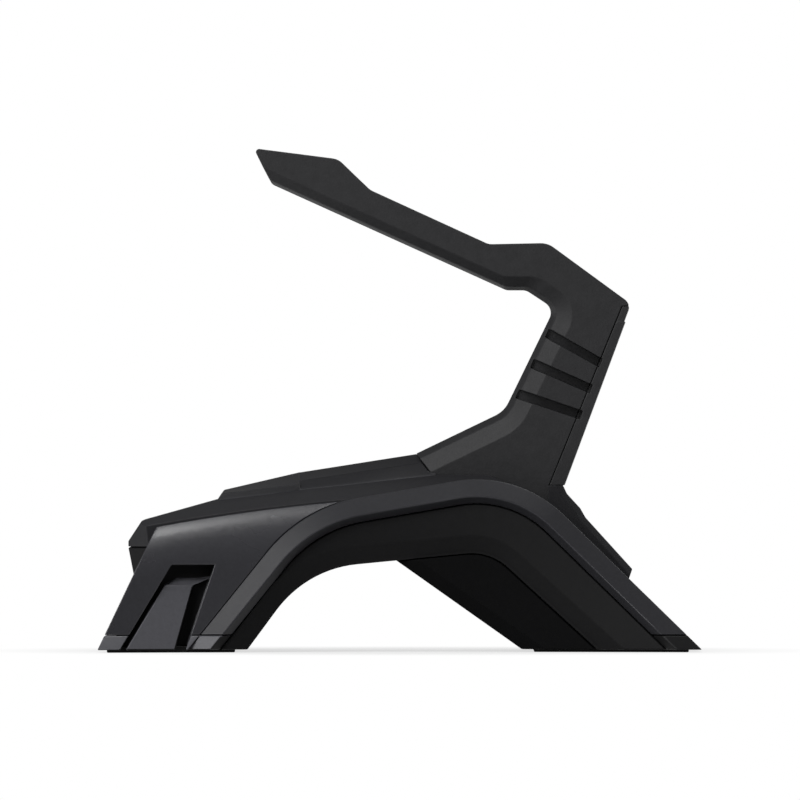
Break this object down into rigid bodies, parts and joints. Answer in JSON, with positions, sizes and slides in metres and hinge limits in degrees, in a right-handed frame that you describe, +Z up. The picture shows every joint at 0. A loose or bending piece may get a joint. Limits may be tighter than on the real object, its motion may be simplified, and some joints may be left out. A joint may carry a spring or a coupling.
{
  "type": "mouse bungee",
  "caption": "Weighted arched desk stand with a bent cranked arm whose slotted head holds a mouse cable clear of the desk.",
  "frame": {"origin": "on the desk, under the middle of the stand's length and width", "axes": "+Z up, -X towards the front legs and the arm's head, +Y to the right-hand flank"},
  "size_m": [0.15, 0.1, 0.1254],
  "materials": {
    "shell_plastic": "satin black moulded plastic",
    "base_plastic": "fine textured black plastic",
    "arm_plastic": "grained soft-touch black plastic",
    "pad_rubber": "matte black rubber",
    "ballast_steel": "bare steel",
    "screw_steel": "dark plated steel"
  },
  "bodies": {
    "root": {"chassis": "base_plastic", "bottom_cover": "base_plastic", "top_deck": "shell_plastic", "top_cover": "shell_plastic", "rear_cover": "shell_plastic", "left_side_panel": "shell_plastic", "right_side_panel": "shell_plastic", "left_arch_trim": "shell_plastic", "right_arch_trim": "shell_plastic", "arm": "arm_plastic", "arm_spine": "arm_plastic", "front_left_pad": "pad_rubber", "front_right_pad": "pad_rubber", "rear_left_pad": "pad_rubber", "rear_right_pad": "pad_rubber", "ballast_block": "ballast_steel", "arm_screws": "screw_steel", "ballast_screws": "screw_steel", "deck_screws": "screw_steel"}
  },
  "joints": []
}
